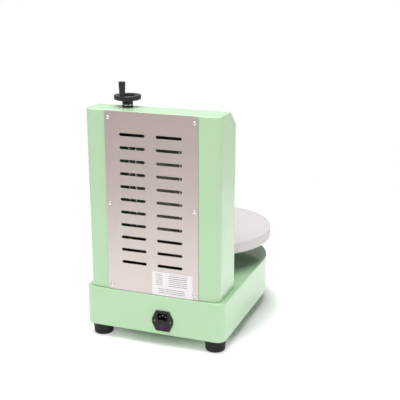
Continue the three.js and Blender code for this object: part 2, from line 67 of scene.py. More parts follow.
# %% A helper that starts a node group
def start_group(name, inputs, outputs):
    group = bpy.data.node_groups.new(name, "ShaderNodeTree")
    for title, kind, default in inputs:
        socket = group.interface.new_socket(title, in_out="INPUT", socket_type=kind)
        socket.default_value = default
    for title, kind in outputs:
        group.interface.new_socket(title, in_out="OUTPUT", socket_type=kind)
    make = group.nodes.new
    return group, make("NodeGroupInput"), make("NodeGroupOutput"), make("ShaderNodeTexCoord")


# %% Colour drift: two shades of one colour in soft patches
def build_colour_drift():
    group, given, result, place = start_group(
        "colour_drift",
        [
            ("Colour", "NodeSocketColor", (0.5, 0.5, 0.5, 1)),
            ("Shade", "NodeSocketColor", (0.4, 0.4, 0.4, 1)),
            ("Scale", "NodeSocketFloat", 12.0),
        ],
        [("Colour", "NodeSocketColor")],
    )
    patches = group.nodes.new("ShaderNodeTexNoise")
    patches.inputs["Detail"].default_value = 4
    mix = group.nodes.new("ShaderNodeMix")
    mix.data_type = "RGBA"
    link = group.links.new
    link(place.outputs["Object"], patches.inputs["Vector"])
    link(given.outputs["Scale"], patches.inputs["Scale"])
    link(patches.outputs["Fac"], mix.inputs[0])
    link(given.outputs["Colour"], mix.inputs[6])
    link(given.outputs["Shade"], mix.inputs[7])
    link(mix.outputs[2], result.inputs["Colour"])
    return group


colour_drift = build_colour_drift()
print("group:", colour_drift.name, [s.name for s in colour_drift.interface.items_tree])


# %% Gloss drift: roughness between two values, patchy where hands and cloths have been
def build_gloss_drift():
    group, given, result, place = start_group(
        "gloss_drift",
        [
            ("Least", "NodeSocketFloat", 0.3),
            ("Most", "NodeSocketFloat", 0.4),
            ("Scale", "NodeSocketFloat", 20.0),
        ],
        [("Roughness", "NodeSocketFloat")],
    )
    smears = group.nodes.new("ShaderNodeTexNoise")
    smears.inputs["Detail"].default_value = 6
    smears.inputs["Roughness"].default_value = 0.7
    spread = group.nodes.new("ShaderNodeMapRange")
    spread.inputs["From Min"].default_value = 0.3
    spread.inputs["From Max"].default_value = 0.7
    link = group.links.new
    link(place.outputs["Object"], smears.inputs["Vector"])
    link(given.outputs["Scale"], smears.inputs["Scale"])
    link(smears.outputs["Fac"], spread.inputs["Value"])
    link(given.outputs["Least"], spread.inputs["To Min"])
    link(given.outputs["Most"], spread.inputs["To Max"])
    link(spread.outputs["Result"], result.inputs["Roughness"])
    return group


gloss_drift = build_gloss_drift()
print("group:", gloss_drift.name)


# %% Fine relief: a noise that can be stretched along one axis to become brushing
def build_fine_relief():
    group, given, result, place = start_group(
        "fine_relief",
        [
            ("Scale", "NodeSocketFloat", 900.0),
            ("Stretch", "NodeSocketVector", (1, 1, 1)),
        ],
        [("Height", "NodeSocketFloat")],
    )
    stretch = group.nodes.new("ShaderNodeVectorMath")
    stretch.operation = "MULTIPLY"
    grain = group.nodes.new("ShaderNodeTexNoise")
    grain.inputs["Detail"].default_value = 3
    link = group.links.new
    link(place.outputs["Object"], stretch.inputs[0])
    link(given.outputs["Stretch"], stretch.inputs[1])
    link(stretch.outputs["Vector"], grain.inputs["Vector"])
    link(given.outputs["Scale"], grain.inputs["Scale"])
    link(grain.outputs["Fac"], result.inputs["Height"])
    return group


fine_relief = build_fine_relief()
print("group:", fine_relief.name)

# %% [markdown]
# ## Finishes
# Each finish is one Principled shader. Values that are the same everywhere, such as how metallic it is or how
# strong the clear coat is, are set on the shader itself. Only what changes over the surface comes from the
# groups: the colour, the roughness and the height of the bump.


# %% A helper that makes a finish
def finish(name, colour, shade, gloss, drift=12.0, smear=20.0, relief=(900, (1, 1, 1), 0.02), **uniform):
    material = bpy.data.materials.new(name)
    material.use_nodes = True
    tree = material.node_tree
    shader = tree.nodes["Principled BSDF"]
    for socket, value in uniform.items():
        shader.inputs[socket.replace("_", " ")].default_value = value

    def place(group, **values):
        node = tree.nodes.new("ShaderNodeGroup")
        node.node_tree = group
        for socket, value in values.items():
            node.inputs[socket].default_value = value
        return node

    paint = place(colour_drift, Colour=(*colour, 1), Shade=(*shade, 1), Scale=drift)
    sheen = place(gloss_drift, Least=gloss[0], Most=gloss[1], Scale=smear)
    scale, stretch, strength = relief
    surface = place(fine_relief, Scale=scale, Stretch=stretch)
    bump = tree.nodes.new("ShaderNodeBump")
    bump.inputs["Strength"].default_value = strength
    bump.inputs["Distance"].default_value = 0.001
    link = tree.links.new
    link(paint.outputs["Colour"], shader.inputs["Base Color"])
    link(sheen.outputs["Roughness"], shader.inputs["Roughness"])
    link(surface.outputs["Height"], bump.inputs["Height"])
    link(bump.outputs["Normal"], shader.inputs["Normal"])
    return material


# %% Painted, plastic and rubber finishes
mint_paint = finish(
    "mint_paint", (0.442, 0.655, 0.42), (0.455, 0.667, 0.433), (0.34, 0.4), drift=5,
    relief=(420, (1, 1, 1), 0.03), Specular_IOR_Level=0.2, Coat_Weight=0.75, Coat_Roughness=0.05,
)
black_plastic = finish(
    "black_plastic", (0.013, 0.011, 0.013), (0.019, 0.017, 0.02), (0.32, 0.44), drift=40,
    relief=(1500, (1, 1, 1), 0.08), Specular_IOR_Level=0.35,
)
black_rubber = finish(
    "black_rubber", (0.009, 0.009, 0.01), (0.014, 0.014, 0.014), (0.55, 0.7), drift=60,
    relief=(1100, (1, 1, 1), 0.1), Specular_IOR_Level=0.3,
)
black_steel = finish(
    "black_steel", (0.02, 0.02, 0.022), (0.035, 0.033, 0.032), (0.3, 0.45), drift=30, Metallic=0.6,
    relief=(800, (1, 1, 1), 0.06),
)
inlet_plastic = finish(
    "inlet_plastic", (0.009, 0.008, 0.007), (0.013, 0.012, 0.01), (0.35, 0.45), drift=60,
    relief=(1500, (1, 1, 1), 0.05), Specular_IOR_Level=0.3,
)
rocker_plastic = finish(
    "rocker_plastic", (0.03, 0.013, 0.036), (0.038, 0.017, 0.045), (0.2, 0.3), drift=80,
    relief=(1500, (1, 1, 1), 0.02), Specular_IOR_Level=0.4,
)
print("painted and moulded finishes ready")

# %% Metal finishes
stainless = finish(
    "stainless", (0.565, 0.503, 0.484), (0.536, 0.477, 0.459), (0.3, 0.38), drift=7,
    relief=(260, (6, 6, 0.12), 0.05), Metallic=1,
)
brushed_arm = finish(
    "brushed_arm", (0.62, 0.62, 0.63), (0.56, 0.56, 0.57), (0.2, 0.3), drift=25,
    relief=(300, (6, 0.15, 6), 0.02), Metallic=1,
)
bright_steel = finish(
    "bright_steel", (0.72, 0.72, 0.73), (0.64, 0.64, 0.66), (0.12, 0.22), drift=60,
    relief=(900, (1, 1, 1), 0.02), Metallic=1,
)
zinc_steel = finish(
    "zinc_steel", (0.46, 0.43, 0.39), (0.38, 0.355, 0.32), (0.35, 0.5), drift=90,
    relief=(500, (1, 1, 1), 0.05), Metallic=0.9,
)
screw_steel = finish(
    "screw_steel", (0.86, 0.85, 0.85), (0.78, 0.78, 0.78), (0.22, 0.32), drift=60, Metallic=0.9,
)
aluminium = finish(
    "aluminium", (0.62, 0.63, 0.64), (0.56, 0.57, 0.58), (0.28, 0.38), drift=30,
    relief=(500, (1, 1, 6), 0.06), Metallic=1,
)
brass = finish(
    "brass", (0.62, 0.42, 0.16), (0.5, 0.32, 0.12), (0.22, 0.35), drift=50,
    relief=(500, (1, 1, 6), 0.05), Metallic=1,
)
dull_pin = finish(
    "dull_pin", (0.3, 0.28, 0.25), (0.22, 0.2, 0.18), (0.3, 0.45), drift=90, Metallic=1,
)
rail_steel = finish(
    "rail_steel", (0.62, 0.62, 0.63), (0.56, 0.56, 0.57), (0.24, 0.32), drift=25,
    relief=(300, (0.15, 6, 6), 0.02), Metallic=1,
)
print("metal finishes ready")

# %% Small trim finishes
board_green = finish("board_green", (0.02, 0.12, 0.05), (0.015, 0.09, 0.04), (0.3, 0.4), drift=150)
display_glass = finish(
    "display_glass", (0.01, 0.012, 0.016), (0.014, 0.016, 0.02), (0.04, 0.08), Coat_Weight=0.5,
)
button_green = finish("button_green", (0.03, 0.3, 0.08), (0.025, 0.26, 0.07), (0.2, 0.3), drift=80)
button_red = finish("button_red", (0.45, 0.02, 0.025), (0.4, 0.018, 0.02), (0.2, 0.3), drift=80)
print("trim finishes ready")

# %% [markdown]
# ## The disc's finish
# The disc is an aluminium casting, turned on a lathe and then dulled. The tool leaves very fine rings about
# the centre, and a slightly deeper line near the rim. The rings are drawn from the distance to the axis,
# which a Mapping node measures from the disc's own centre. Only the outside is turned. The underside is
# left as cast and darker, and its colour is painted shade too: a deep dark green that stands in for the
# shadow under the disc, so the base top below, which reflects it, looks shaded as well.

# %% The rings of the turned disc
disc_low, disc_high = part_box("turntable_disc")
disc_centre = (disc_low + disc_high) / 2
disc_radius = (disc_high.x - disc_low.x) / 2


def turned_disc_finish():
    material = finish(
        "disc_grey", (0.65, 0.608, 0.612), (0.62, 0.579, 0.584), (0.42, 0.52), drift=9, smear=14, Metallic=0.15,
    )
    tree = material.node_tree
    place = tree.nodes.new("ShaderNodeTexCoord")
    centre = tree.nodes.new("ShaderNodeMapping")
    centre.inputs["Location"].default_value = (0, -disc_centre.y, 0)
    flatten = tree.nodes.new("ShaderNodeVectorMath")
    flatten.operation = "MULTIPLY"
    flatten.inputs[1].default_value = (1, 1, 0)
    length = tree.nodes.new("ShaderNodeVectorMath")
    length.operation = "LENGTH"
    rings = tree.nodes.new("ShaderNodeTexNoise")
    rings.noise_dimensions = "1D"
    rings.inputs["Scale"].default_value = 900
    rings.inputs["Detail"].default_value = 2
    link = tree.links.new
    link(place.outputs["Object"], centre.inputs["Vector"])
    link(centre.outputs["Vector"], flatten.inputs[0])
    link(flatten.outputs["Vector"], length.inputs[0])
    link(length.outputs["Value"], rings.inputs["W"])
    bump = next(n for n in tree.nodes if n.bl_idname == "ShaderNodeBump")
    bump.inputs["Strength"].default_value = 0.12
    link(rings.outputs["Fac"], bump.inputs["Height"])

    def below(value, limit):
        node = tree.nodes.new("ShaderNodeMath")
        node.operation = "LESS_THAN"
        node.inputs[1].default_value = limit
        link(value, node.inputs[0])
        return node.outputs[0]

    axes = tree.nodes.new("ShaderNodeSeparateXYZ")
    link(place.outputs["Object"], axes.inputs["Vector"])
    # painted shade: below the top and inside the rim, the turned colour gives way to a deep dark green that
    # stands in for the shadow under the disc
    painted_shade_underside = tree.nodes.new("ShaderNodeMath")
    painted_shade_underside.operation = "MULTIPLY"
    link(below(axes.outputs["Z"], disc_high.z - 0.008), painted_shade_underside.inputs[0])
    link(below(length.outputs["Value"], disc_radius - 0.0012), painted_shade_underside.inputs[1])
    shader = tree.nodes["Principled BSDF"]
    turned_colour = shader.inputs["Base Color"].links[0].from_socket
    # mixes in the painted shade: dark green in place of the turned colour wherever the underside mask is set
    cast_and_painted_shade = tree.nodes.new("ShaderNodeMix")
    cast_and_painted_shade.data_type = "RGBA"
    cast_and_painted_shade.inputs[7].default_value = (0.035, 0.1, 0.04, 1)
    link(painted_shade_underside.outputs[0], cast_and_painted_shade.inputs[0])
    link(turned_colour, cast_and_painted_shade.inputs[6])
    link(cast_and_painted_shade.outputs[2], shader.inputs["Base Color"])
    return material


disc_grey = turned_disc_finish()
print("disc radius:", round(disc_radius, 4))

# %% [markdown]
# ## The label's finish
# The back carries a white film label. Its print is left generic: ruled rows in two columns and nothing that
# can be read. The rules are bands in Z, cut off by bands in X, so they stay sharp at any size.

# %% Bands of grey on white film
label_low, label_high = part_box("rating_label")


def label_finish():
    material = finish(
        "label_white", (0.85, 0.81, 0.812), (0.82, 0.78, 0.782), (0.3, 0.4), drift=60,
        relief=(700, (1, 1, 1), 0.01),
    )
    tree = material.node_tree
    link = tree.links.new
    place = tree.nodes.new("ShaderNodeTexCoord")
    axes = tree.nodes.new("ShaderNodeSeparateXYZ")
    link(place.outputs["Object"], axes.inputs["Vector"])

    def math_node(operation, first, second):
        node = tree.nodes.new("ShaderNodeMath")
        node.operation = operation
        for socket, value in zip(node.inputs, (first, second)):
            if isinstance(value, (int, float)):
                socket.default_value = value
            else:
                link(value, socket)
        return node.outputs[0]

    def between(value, low, high):
        return math_node("MULTIPLY", math_node("GREATER_THAN", value, low), math_node("LESS_THAN", value, high))

    x, z = axes.outputs["X"], axes.outputs["Z"]
    row = math_node("FRACT", math_node("DIVIDE", math_node("SUBTRACT", z, label_low.z), 0.0047), 0.0)
    rule = between(row, 0.36, 0.66)
    upper = between(z, label_low.z + 0.024, label_high.z - 0.004)
    lower = between(z, label_low.z + 0.004, label_low.z + 0.0178)
    left = between(x, label_high.x - 0.026, label_high.x - 0.010)
    middle = between(x, label_low.x + 0.014, label_high.x - 0.042)
    wide = between(x, label_low.x + 0.02, label_high.x - 0.016)
    columns = math_node("MAXIMUM", left, middle)
    print_mask = math_node("MULTIPLY", rule, math_node(
        "MAXIMUM", math_node("MULTIPLY", upper, columns), math_node("MULTIPLY", lower, wide)))
    broken = tree.nodes.new("ShaderNodeTexNoise")
    broken.inputs["Scale"].default_value = 420
    link(place.outputs["Object"], broken.inputs["Vector"])
    ink = math_node("MULTIPLY", print_mask, math_node("GREATER_THAN", broken.outputs["Fac"], 0.4))
    shader = tree.nodes["Principled BSDF"]
    film = shader.inputs["Base Color"].links[0].from_socket
    mix = tree.nodes.new("ShaderNodeMix")
    mix.data_type = "RGBA"
    mix.inputs[7].default_value = (0.05, 0.05, 0.055, 1)
    link(math_node("MULTIPLY", ink, 0.8), mix.inputs[0])
    link(film, mix.inputs[6])
    link(mix.outputs[2], shader.inputs["Base Color"])
    return material


label_white = label_finish()
print("label:", [round(v, 4) for v in label_high - label_low])

# %% [markdown]
# ## Carried-over parts
# Most inner parts are already the right shape: plates, blocks and bars. Their meshes are loose triangles,
# so a Weld modifier joins them, a Bevel modifier eases each sharp edge as a real machined edge is eased,
# and a Weighted Normal modifier keeps the flats flat. The mesh itself is never touched.

# %% Finishes and eased edges for the carried-over parts
finish_of_slot = {
    "mint_paint": mint_paint, "stainless": brushed_arm, "disc_grey": disc_grey, "black_plastic": black_plastic,
    "black_rubber": black_rubber, "bright_steel": bright_steel, "zinc_steel": zinc_steel,
    "aluminium": aluminium, "brass": brass, "black_steel": black_steel, "label_white": label_white,
    "board_green": board_green, "display_glass": display_glass, "button_green": button_green,
    "button_red": button_red,
}
slot_of_node = {part["node"]: part["material_slot"] for part in frame["record"]["subparts"]}
finish_of_node = {
    "blade_rail": rail_steel, "fuse_drawer": inlet_plastic, "rocker_switch": rocker_plastic,
    "inlet_pin_live": dull_pin, "inlet_pin_neutral": dull_pin, "inlet_pin_earth": dull_pin,
}
eased_width = {"side_blade": 0.0003, "top_blade": 0.0003, "spreader_arm": 0.0015, "blade_rail": 0.0012,
               "blade_slider": 0.0012, "inlet_body": 0.0006, "rocker_switch": 0.0008, "lift_carriage": 0.001}

for name, node in nodes.items():
    node.data.materials.clear()
    node.data.materials.append(finish_of_node.get(name, finish_of_slot[slot_of_node[name]]))
    weld = node.modifiers.new("join triangles", "WELD")
    weld.merge_threshold = 1e-5
    ease = node.modifiers.new("ease edges", "BEVEL")
    ease.width = eased_width.get(name, 0.0004)
    ease.segments = 2
    ease.limit_method = "ANGLE"
    ease.angle_limit = math.radians(35)
    ease.use_clamp_overlap = True
    flats = node.modifiers.new("keep flats flat", "WEIGHTED_NORMAL")
    flats.keep_sharp = True
    node.data.shade_smooth()
print("eased:", len(nodes))

# %% [markdown]
# ## Helpers for new pieces
# A new piece starts as a few vertices in a bmesh. Three helpers repeat: one finishes a piece and hands it
# to a body, one spins a turned profile about an axis, and one rounds the corners of an outline before it is
# used.


# %% Finish a piece and let it ride on a body
def keep(bm, name, body, slot, material, *stands_for, sharp=35):
    bmesh.ops.remove_doubles(bm, verts=bm.verts, dist=1e-6)
    bmesh.ops.recalc_face_normals(bm, faces=bm.faces)
    mesh = bpy.data.meshes.new(name)
    bm.to_mesh(mesh)
    bm.free()
    mesh.shade_smooth()
    mesh.set_sharp_from_angle(angle=math.radians(sharp))
    mesh.materials.append(material)
    piece = bpy.data.objects.new(name, mesh)
    bpy.context.scene.collection.objects.link(piece)
    flats = piece.modifiers.new("keep flats flat", "WEIGHTED_NORMAL")
    flats.keep_sharp = True
    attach(piece, body)
    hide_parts(*stands_for)
    print(f"{name}: {len(mesh.polygons)} faces on {body}")
    return piece


# %% An outline with rounded corners
def outline(bm, corners, closed=True):
    """corners are (x, y, z, radius); a radius of 0 leaves the corner sharp. Gives every edge back."""
    points = [bm.verts.new(c[:3]) for c in corners]
    ends = points[1:] + points[:1] if closed else points[1:]
    for pair in zip(points, ends):
        bm.edges.new(pair)
    for point, corner in zip(points, corners):
        if corner[3] > 0:
            bmesh.ops.bevel(
                bm, geom=[point], offset=corner[3], offset_type="OFFSET", segments=6, profile=0.5,
                affect="VERTICES", clamp_overlap=False, material=-1,
            )
    return bm.edges[:]


# %% A turned piece
def turned(profile, axis_point, steps=96, axis=(0, 0, 1)):
    """profile is (radius, height, corner radius) from the axis out and back, along +Z; axis turns it after."""
    bm = bmesh.new()
    edges = outline(bm, [(r, 0, h, c) for r, h, c in profile], closed=profile[0][0] > 0)
    bmesh.ops.spin(
        bm, geom=edges + bm.verts[:], cent=(0, 0, 0), axis=(0, 0, 1),
        angle=math.tau, steps=steps, use_merge=True, use_duplicate=False,
    )
    bmesh.ops.remove_doubles(bm, verts=bm.verts, dist=1e-6)
    turn = Vector((0, 0, 1)).rotation_difference(Vector(axis)).to_matrix().to_4x4()
    bmesh.ops.transform(bm, matrix=Matrix.Translation(axis_point) @ turn, verts=bm.verts)
    return bm


mm = 0.001
print("one unit is a metre; mm =", mm)

# %% [markdown]
# ## Sheet housings
# The base and the tower are folded from 2 mm sheet, welded and powder coated. Each starts as an outline seen
# from above. The outline is filled and raised, the top edges are rounded, the openings are cut, and only then
# does the skin get its thickness, so that the cut edges show the real 2 mm of metal.


# %% Cut an opening in one wall of a skin
def cut_window(bm, low, high, wall_axis):
    """Takes away the skin inside the box low-high, in the wall that faces along wall_axis."""
    for axis in {0, 1, 2} - {wall_axis}:
        for limit in (low[axis], high[axis]):
            wall = [
                f for f in bm.faces
                if abs(f.normal[wall_axis]) > 0.9
                and low[wall_axis] < f.calc_center_median()[wall_axis] < high[wall_axis]
            ]
            around = {v for f in wall for v in f.verts} | {e for f in wall for e in f.edges}
            normal = Vector((0, 0, 0))
            normal[axis] = 1
            bmesh.ops.bisect_plane(bm, geom=[*wall, *around], plane_co=Vector(normal) * limit, plane_no=normal)
    inside = [
        f for f in bm.faces
        if all(low[i] < f.calc_center_median()[i] < high[i] for i in range(3))
        and abs(f.normal[wall_axis]) > 0.9
    ]
    bmesh.ops.delete(bm, geom=inside, context="FACES")


# %% Give a skin its thickness
def thicken(bm, sheet):
    bmesh.ops.recalc_face_normals(bm, faces=bm.faces)
    bmesh.ops.solidify(bm, geom=bm.faces[:], thickness=sheet)


def round_edges(bm, faces, radius, segments=4, fold=0.3):
    """Rounds the sharp edges of these faces."""
    edges = {e for f in faces for e in f.edges if len(e.link_faces) == 2 and e.calc_face_angle(0) > fold}
    bmesh.ops.bevel(
        bm, geom=list(edges), offset=radius, offset_type="OFFSET", segments=segments, profile=0.5,
        affect="EDGES", clamp_overlap=True, material=-1,
    )


# %% The base housing
base_low, base_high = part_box("base_shell")
sheet = 2 * mm


def base_housing():
    bm = bmesh.new()
    half, rear, front_y = base_high.x, base_high.y, disc_centre.y
    start = bm.verts.new((half, front_y, base_low.z))
    front = bmesh.ops.spin(
        bm, geom=[start], cent=(0, front_y, 0), axis=(0, 0, 1), angle=-math.pi, steps=72, use_duplicate=False,
    )
    last = front["geom_last"][0]
    corners = [bm.verts.new((x, rear, base_low.z)) for x in (-half, half)]
    for pair in ((last, corners[0]), (corners[0], corners[1]), (corners[1], start)):
        bm.edges.new(pair)
    bmesh.ops.bevel(
        bm, geom=corners, offset=21 * mm, offset_type="OFFSET", segments=14, profile=0.5, affect="VERTICES",
        clamp_overlap=False, material=-1,
    )
    floor = bmesh.ops.contextual_create(bm, geom=bm.edges[:])["faces"]
    raised = bmesh.ops.extrude_face_region(bm, geom=floor)
    top = [g for g in raised["geom"] if isinstance(g, bmesh.types.BMVert)]
    bmesh.ops.translate(bm, vec=(0, 0, base_high.z - base_low.z), verts=top)
    bottom = [f for f in bm.faces if f.calc_center_median().z < base_low.z + mm]
    bmesh.ops.delete(bm, geom=bottom, context="FACES")
    bmesh.ops.recalc_face_normals(bm, faces=bm.faces)
    round_edges(bm, [f for f in bm.faces if f.normal.z > 0.9], 2.8 * mm, 5)
    inlet_low, inlet_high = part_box("inlet_body")
    inset = Vector((11.2, 0, 1.7)) * mm
    cut_window(bm, Vector((inlet_low.x, rear - mm, inlet_low.z)) + inset,
               Vector((inlet_high.x, rear + mm, inlet_high.z)) - inset, 1)
    hole = 27.6 * mm
    cut_window(bm, Vector((-hole, front_y - hole, base_high.z - mm)),
               Vector((hole, front_y + hole, base_high.z + mm)), 2)
    thicken(bm, sheet)
    return keep(bm, "base_housing", "housing", "mint_paint", mint_paint, "base_shell")


base_housing()

# %% The tower housing
tower_low, tower_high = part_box("tower_shell")
slant = Vector((0, 42, 36)) * mm


def tower_housing():
    bm = bmesh.new()
    half, front_y, rear = tower_high.x, tower_low.y, tower_high.y
    corners = [(half, rear, 16), (-half, rear, 16), (-half, front_y, 10), (half, front_y, 10)]
    edges = outline(bm, [(x, y, tower_low.z, r * mm) for x, y, r in corners])
    floor = bmesh.ops.contextual_create(bm, geom=edges)["faces"]
    raised = bmesh.ops.extrude_face_region(bm, geom=floor)
    top = [g for g in raised["geom"] if isinstance(g, bmesh.types.BMVert)]
    bmesh.ops.translate(bm, vec=(0, 0, tower_high.z - tower_low.z), verts=top)
    bmesh.ops.recalc_face_normals(bm, faces=bm.faces)
    face_point = Vector((0, front_y, tower_high.z - slant.z))
    cut = bmesh.ops.bisect_plane(
        bm, geom=bm.verts[:] + bm.edges[:] + bm.faces[:], plane_co=face_point,
        plane_no=Vector((0, -slant.z, slant.y)), clear_outer=True,
    )
    rim = [g for g in cut["geom_cut"] if isinstance(g, bmesh.types.BMEdge)]
    bmesh.ops.contextual_create(bm, geom=rim)
    bmesh.ops.recalc_face_normals(bm, faces=bm.faces)
    round_edges(bm, [f for f in bm.faces if f.normal.z > 0.5], 2.4 * mm, 5, fold=0.2)
    round_edges(bm, [f for f in bm.faces if f.normal.z < -0.9], 1.3 * mm, 3)
    bmesh.ops.delete(bm, geom=[f for f in bm.faces if f.normal.z < -0.99], context="FACES")
    wide = 94 * mm
    cut_window(bm, Vector((-wide, rear - mm, 140 * mm)), Vector((wide, rear + mm, 538 * mm)), 1)
    cut_window(bm, Vector((-14 * mm, front_y - mm, 288 * mm)), Vector((14 * mm, front_y + mm, 436 * mm)), 1)
    screw_low, screw_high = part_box("lead_screw")
    middle = (screw_low + screw_high) / 2
    hole = 7.5 * mm
    cut_window(bm, Vector((middle.x - hole, middle.y - hole, tower_high.z - mm)),
               Vector((middle.x + hole, middle.y + hole, tower_high.z + mm)), 2)
    thicken(bm, sheet)
    return keep(bm, "tower_housing", "housing", "mint_paint", mint_paint, "tower_shell")


tower_housing()

# %% [markdown]
# ## The rear cover
# A flat plate of satin stainless steel with two columns of eleven cooling slots. It could be cut with
# booleans, but one clean fill is enough: the outer edge and each slot are drawn as loops, a triangle fill
# spans the metal between them, and the flat result is raised to the sheet's thickness with its edges
# broken.


# %% One cooling slot as a loop
def slot_loop(bm, centre, length, height, steps=16):
    ring = bmesh.ops.create_circle(bm, segments=steps, radius=height / 2)["verts"]
    bmesh.ops.rotate(bm, cent=(0, 0, 0), matrix=Matrix.Rotation(math.pi / steps, 3, "Z"), verts=ring)
    run = (length - height) / 2
    for vert in ring:
        vert.co.x += math.copysign(run, vert.co.x)
    bmesh.ops.rotate(bm, cent=(0, 0, 0), matrix=Matrix.Rotation(math.pi / 2, 3, "X"), verts=ring)
    bmesh.ops.translate(bm, vec=centre, verts=ring)


# %% Fill loops and raise them to a plate
def raise_plate(bm, thickness, edge):
    bmesh.ops.triangle_fill(bm, use_beauty=True, use_dissolve=False, edges=bm.edges[:])
    raised = bmesh.ops.extrude_face_region(bm, geom=bm.faces[:])
    back = [g for g in raised["geom"] if isinstance(g, bmesh.types.BMVert)]
    bmesh.ops.translate(bm, vec=thickness, verts=back)
    bmesh.ops.recalc_face_normals(bm, faces=bm.faces)
    round_edges(bm, bm.faces[:], edge, 2, fold=0.8)


# %% The slotted cover
cover_low, cover_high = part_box("rear_cover")
vent_rows, vent_pitch, vent_top = 11, 30.2 * mm, 501.9 * mm


def slotted_cover():
    bm = bmesh.new()
    y = cover_low.y
    x0, x1, z0, z1 = cover_low.x, cover_high.x, cover_low.z, cover_high.z
    outline(bm, [(x, y, z, 1.5 * mm) for x, z in ((x0, z0), (x1, z0), (x1, z1), (x0, z1))])
    for row in range(vent_rows):
        for x in (-43.5 * mm, 45.5 * mm):
            slot_loop(bm, (x, y, vent_top - row * vent_pitch), 62 * mm, 7 * mm)
    raise_plate(bm, (0, cover_high.y - cover_low.y, 0), 0.3 * mm)
    return keep(bm, "slotted_cover", "housing", "stainless", stainless, "rear_cover")


slotted_cover()

# %% The label film
def label_film():
    bm = bmesh.new()
    y, inset = label_low.y, 2.5 * mm
    x0, x1, z0, z1 = label_low.x, label_high.x, label_low.z, label_high.z
    outline(bm, [(x, y, z, inset) for x, z in ((x0, z0), (x1, z0), (x1, z1), (x0, z1))])
    raise_plate(bm, (0, label_high.y - y, 0), 0.05 * mm)
    return keep(bm, "label_film", "housing", "label_white", label_white, "rating_label")


label_film()

# %% [markdown]
# ## Screws
# The cover is held by six pan-head screws with a cross recess. The head is turned, and the recess is
# pressed in: the sectors near the middle that lie on the two arms of the cross are inset and pushed down.


# %% A pan head with a cross recess
def pan_screw(name, place, head_radius, head_height, shank, body, slot_name, *stands_for,
              axis=(0, 1, 0), material=screw_steel):
    r, h = head_radius, head_height
    profile = [
        (0, -shank, 0), (0.5 * r, -shank, 0), (0.5 * r, 0, 0), (r, 0, 0.06 * r), (r, 0.35 * h, 0.12 * r),
        (0.72 * r, 0.86 * h, 0.2 * r), (0.5 * r, h, 0.05 * r), (0.16 * r, h, 0), (0, h, 0),
    ]
    bm = turned(profile, (0, 0, 0), steps=24)
    arms = [
        f for f in bm.faces
        if f.calc_center_median().z > 0.9 * h and f.calc_center_median().xy.length < 0.6 * r
        and (math.degrees(math.atan2(f.calc_center_median().y, f.calc_center_median().x)) + 15) % 90 < 30
    ]
    pressed = bmesh.ops.extrude_face_region(bm, geom=arms)
    bmesh.ops.delete(bm, geom=arms, context="FACES")
    floor = [g for g in pressed["geom"] if isinstance(g, bmesh.types.BMVert)]
    bmesh.ops.translate(bm, vec=(0, 0, -0.8 * h), verts=floor)
    turn = Vector((0, 0, 1)).rotation_difference(Vector(axis)).to_matrix().to_4x4()
    bmesh.ops.transform(bm, matrix=Matrix.Translation(place) @ turn, verts=bm.verts)
    return keep(bm, name, body, slot_name, material, *stands_for)


for count in range(1, 7):
    low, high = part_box(f"cover_screw_{count}")
    middle = (low + high) / 2
    pan_screw(f"cover_fixing_{count}", (middle.x, high.y - 2.4 * mm, middle.z), 4.4 * mm, 2.4 * mm, 6 * mm,
              "housing", "bright_steel", f"cover_screw_{count}")

# %% [markdown]
# ## The mains inlet
# One moulding holds the socket, the fuse drawer and the rocker. The face is drawn as a loop with one more
# loop for each opening, and a fill spans the plastic between them. Each opening's edge is carried inwards
# and closed, so it is a real recess, and the outer edge is carried back to the housing to give the flange
# depth.

# %% The inlet moulding
inlet_low, inlet_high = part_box("inlet_body")
inlet_middle = (inlet_low + inlet_high) / 2


def loop_xz(bm, corners, y, radius):
    """Draws one closed loop in the plane of the face and gives its own edges back."""
    before = set(bm.edges)
    outline(bm, [(inlet_middle.x + x * mm, y, inlet_middle.z + z * mm, radius) for x, z in corners])
    return [e for e in bm.edges if e not in before]


def rectangle(half, low, high):
    return [(-half, low), (half, low), (half, high), (-half, high)]


def carry(bm, edges, way):
    """Extends open edges along way and gives the new far edges back."""
    grown = bmesh.ops.extrude_edge_only(bm, edges=edges)["geom"]
    bmesh.ops.translate(bm, vec=way, verts=[g for g in grown if isinstance(g, bmesh.types.BMVert)])
    far = {g for g in grown if isinstance(g, bmesh.types.BMVert)}
    return [g for g in grown if isinstance(g, bmesh.types.BMEdge) and set(g.verts) <= far]


def inlet_moulding():
    bm = bmesh.new()
    face = inlet_high.y
    flange = loop_xz(bm, [(-16.5, -25), (16.5, -25), (26, -5.5), (26, 5.5), (16.5, 25), (-16.5, 25),
                          (-26, 5.5), (-26, -5.5)], face, 1.6 * mm)
    openings = [(rectangle(12.25, 2.5, 19.5), 16), (rectangle(11.5, -5, 1), 24), (rectangle(9.5, -21, -8), 12)]
    rims = [(loop_xz(bm, corners, face, 0.8 * mm), depth) for corners, depth in openings]
    bmesh.ops.triangle_fill(bm, use_beauty=True, use_dissolve=False, edges=bm.edges[:])
    for rim, depth in rims:
        bmesh.ops.contextual_create(bm, geom=carry(bm, rim, (0, -depth * mm, 0)))
    behind = carry(bm, flange, (0, -2.8 * mm, 0))
    neck = loop_xz(bm, rectangle(14, -22.5, 21.5), face - 2.8 * mm, 0)
    bmesh.ops.triangle_fill(bm, use_beauty=True, use_dissolve=False, edges=behind + neck)
    across = [f for f in bm.faces if f.normal.length and abs(f.calc_center_median().y - face + 2.8 * mm) < 1e-6]
    inner = [f for f in across if all(abs(v.co.x - inlet_middle.x) < 14.1 * mm for v in f.verts)
             and all(-22.6 * mm < v.co.z - inlet_middle.z < 21.6 * mm for v in f.verts)]
    bmesh.ops.delete(bm, geom=inner, context="FACES_ONLY")
    bmesh.ops.contextual_create(bm, geom=carry(bm, neck, (0, inlet_low.y - face + 2.8 * mm, 0)))
    return keep(bm, "inlet_moulding", "housing", "black_plastic", inlet_plastic, "inlet_body")


inlet_moulding()

